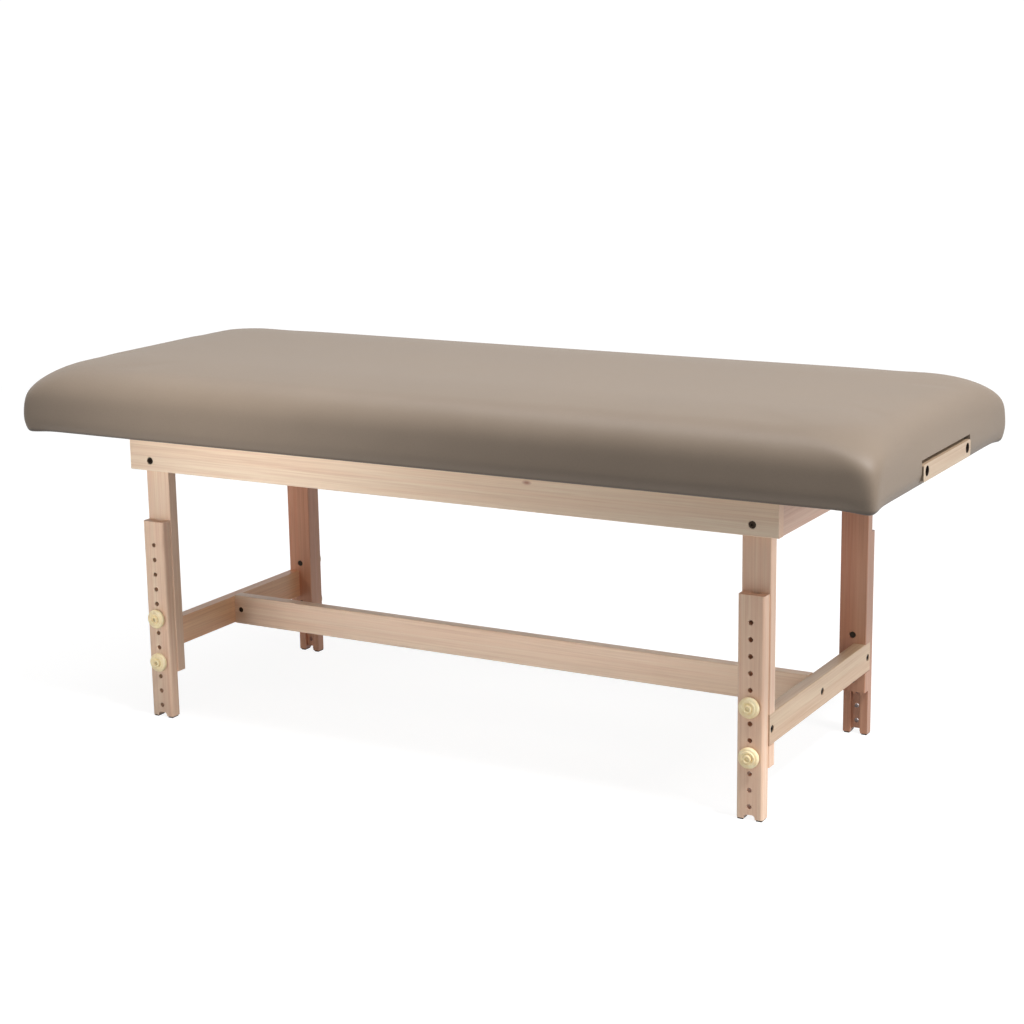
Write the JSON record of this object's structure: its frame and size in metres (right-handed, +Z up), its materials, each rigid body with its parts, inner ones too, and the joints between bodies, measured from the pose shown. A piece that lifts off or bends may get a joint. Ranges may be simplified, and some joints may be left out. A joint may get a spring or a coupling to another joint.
{
  "type": "massage table",
  "caption": "Padded massage table on a wooden frame, with a rolled vinyl top, a headrest socket rail and drilled legs that clamp at set heights with round knobs.",
  "frame": {"origin": "on the floor, under the middle of the table", "axes": "+X along the table to the headrest end, -Y the front long side, +Z up"},
  "size_m": [1.873, 0.757, 0.7575],
  "materials": {
    "vinyl": "smooth satin vinyl, taupe",
    "foam": "open-cell foam, hidden",
    "plywood": "bare plywood",
    "wood": "clear satin lacquer on pale hardwood",
    "hardware": "dark plated steel",
    "knobs": "cream moulded plastic, satin",
    "feet": "dark rubber"
  },
  "bodies": {
    "frame": {"deck_panel": "plywood", "foam_block": "foam", "vinyl_cover": "vinyl", "headrest_rail": "wood", "headrest_rail_screws": "hardware", "deck_screws": "hardware", "front_apron": "wood", "rear_apron": "wood", "left_end_apron": "wood", "right_end_apron": "wood", "apron_bolts": "hardware", "apron_nuts": "hardware", "left_end_stretcher": "wood", "right_end_stretcher": "wood", "centre_stretcher": "wood", "stretcher_leg_screws": "hardware", "centre_stretcher_bolts": "hardware", "barrel_nuts": "hardware", "leg_keys": "wood", "clamp_bolts": "hardware", "front_right_upper_leg": "wood", "front_left_upper_leg": "wood", "rear_right_upper_leg": "wood", "rear_left_upper_leg": "wood"},
    "front_right_leg": {"front_right_lower_leg": "wood", "front_right_foot_pads": "feet"},
    "front_right_upper_washer": {"front_right_upper_washer": "hardware"},
    "front_right_upper_knob": {"front_right_upper_knob": "knobs"},
    "front_right_lower_washer": {"front_right_lower_washer": "hardware"},
    "front_right_lower_knob": {"front_right_lower_knob": "knobs"},
    "front_left_leg": {"front_left_lower_leg": "wood", "front_left_foot_pads": "feet"},
    "front_left_upper_washer": {"front_left_upper_washer": "hardware"},
    "front_left_upper_knob": {"front_left_upper_knob": "knobs"},
    "front_left_lower_washer": {"front_left_lower_washer": "hardware"},
    "front_left_lower_knob": {"front_left_lower_knob": "knobs"},
    "rear_right_leg": {"rear_right_lower_leg": "wood", "rear_right_foot_pads": "feet"},
    "rear_right_upper_washer": {"rear_right_upper_washer": "hardware"},
    "rear_right_upper_knob": {"rear_right_upper_knob": "knobs"},
    "rear_right_lower_washer": {"rear_right_lower_washer": "hardware"},
    "rear_right_lower_knob": {"rear_right_lower_knob": "knobs"},
    "rear_left_leg": {"rear_left_lower_leg": "wood", "rear_left_foot_pads": "feet"},
    "rear_left_upper_washer": {"rear_left_upper_washer": "hardware"},
    "rear_left_upper_knob": {"rear_left_upper_knob": "knobs"},
    "rear_left_lower_washer": {"rear_left_lower_washer": "hardware"},
    "rear_left_lower_knob": {"rear_left_lower_knob": "knobs"}
  },
  "joints": [
    {"name": "front_right_leg_height", "type": "slide", "parent": "frame", "child": "front_right_leg", "axis": [0, 0, 1], "range_m": [-0.09525, 0.09525]},
    {"name": "front_right_upper_knob_travel", "type": "slide", "parent": "frame", "child": "front_right_upper_washer", "axis": [0, -1, 0], "range_m": [0, 0.00857]},
    {"name": "front_right_upper_knob_turn", "type": "hinge", "parent": "front_right_upper_washer", "child": "front_right_upper_knob", "pos_m": [0.6745, -0.2893, 0.21745], "axis": [0, -1, 0], "range_deg": [0, 2160]},
    {"name": "front_right_lower_knob_travel", "type": "slide", "parent": "frame", "child": "front_right_lower_washer", "axis": [0, -1, 0], "range_m": [0, 0.00857]},
    {"name": "front_right_lower_knob_turn", "type": "hinge", "parent": "front_right_lower_washer", "child": "front_right_lower_knob", "pos_m": [0.6745, -0.2893, 0.1222], "axis": [0, -1, 0], "range_deg": [0, 2160]},
    {"name": "front_left_leg_height", "type": "slide", "parent": "frame", "child": "front_left_leg", "axis": [0, 0, 1], "range_m": [-0.09525, 0.09525]},
    {"name": "front_left_upper_knob_travel", "type": "slide", "parent": "frame", "child": "front_left_upper_washer", "axis": [0, -1, 0], "range_m": [0, 0.00857]},
    {"name": "front_left_upper_knob_turn", "type": "hinge", "parent": "front_left_upper_washer", "child": "front_left_upper_knob", "pos_m": [-0.6745, -0.2893, 0.21745], "axis": [0, -1, 0], "range_deg": [0, 2160]},
    {"name": "front_left_lower_knob_travel", "type": "slide", "parent": "frame", "child": "front_left_lower_washer", "axis": [0, -1, 0], "range_m": [0, 0.00857]},
    {"name": "front_left_lower_knob_turn", "type": "hinge", "parent": "front_left_lower_washer", "child": "front_left_lower_knob", "pos_m": [-0.6745, -0.2893, 0.1222], "axis": [0, -1, 0], "range_deg": [0, 2160]},
    {"name": "rear_right_leg_height", "type": "slide", "parent": "frame", "child": "rear_right_leg", "axis": [0, 0, 1], "range_m": [-0.09525, 0.09525]},
    {"name": "rear_right_upper_knob_travel", "type": "slide", "parent": "frame", "child": "rear_right_upper_washer", "axis": [0, 1, 0], "range_m": [0, 0.00857]},
    {"name": "rear_right_upper_knob_turn", "type": "hinge", "parent": "rear_right_upper_washer", "child": "rear_right_upper_knob", "pos_m": [0.6745, 0.2893, 0.21745], "axis": [0, 1, 0], "range_deg": [0, 2160]},
    {"name": "rear_right_lower_knob_travel", "type": "slide", "parent": "frame", "child": "rear_right_lower_washer", "axis": [0, 1, 0], "range_m": [0, 0.00857]},
    {"name": "rear_right_lower_knob_turn", "type": "hinge", "parent": "rear_right_lower_washer", "child": "rear_right_lower_knob", "pos_m": [0.6745, 0.2893, 0.1222], "axis": [0, 1, 0], "range_deg": [0, 2160]},
    {"name": "rear_left_leg_height", "type": "slide", "parent": "frame", "child": "rear_left_leg", "axis": [0, 0, 1], "range_m": [-0.09525, 0.09525]},
    {"name": "rear_left_upper_knob_travel", "type": "slide", "parent": "frame", "child": "rear_left_upper_washer", "axis": [0, 1, 0], "range_m": [0, 0.00857]},
    {"name": "rear_left_upper_knob_turn", "type": "hinge", "parent": "rear_left_upper_washer", "child": "rear_left_upper_knob", "pos_m": [-0.6745, 0.2893, 0.21745], "axis": [0, 1, 0], "range_deg": [0, 2160]},
    {"name": "rear_left_lower_knob_travel", "type": "slide", "parent": "frame", "child": "rear_left_lower_washer", "axis": [0, 1, 0], "range_m": [0, 0.00857]},
    {"name": "rear_left_lower_knob_turn", "type": "hinge", "parent": "rear_left_lower_washer", "child": "rear_left_lower_knob", "pos_m": [-0.6745, 0.2893, 0.1222], "axis": [0, 1, 0], "range_deg": [0, 2160]}
  ],
  "couplings": [
    {"joint": "front_right_upper_knob_travel", "follows": "front_right_upper_knob_turn", "m_per_rad": 0.00022459},
    {"joint": "front_right_lower_knob_travel", "follows": "front_right_lower_knob_turn", "m_per_rad": 0.00022459},
    {"joint": "front_left_upper_knob_travel", "follows": "front_left_upper_knob_turn", "m_per_rad": 0.00022459},
    {"joint": "front_left_lower_knob_travel", "follows": "front_left_lower_knob_turn", "m_per_rad": 0.00022459},
    {"joint": "rear_right_upper_knob_travel", "follows": "rear_right_upper_knob_turn", "m_per_rad": 0.00022459},
    {"joint": "rear_right_lower_knob_travel", "follows": "rear_right_lower_knob_turn", "m_per_rad": 0.00022459},
    {"joint": "rear_left_upper_knob_travel", "follows": "rear_left_upper_knob_turn", "m_per_rad": 0.00022459},
    {"joint": "rear_left_lower_knob_travel", "follows": "rear_left_lower_knob_turn", "m_per_rad": 0.00022459}
  ]
}
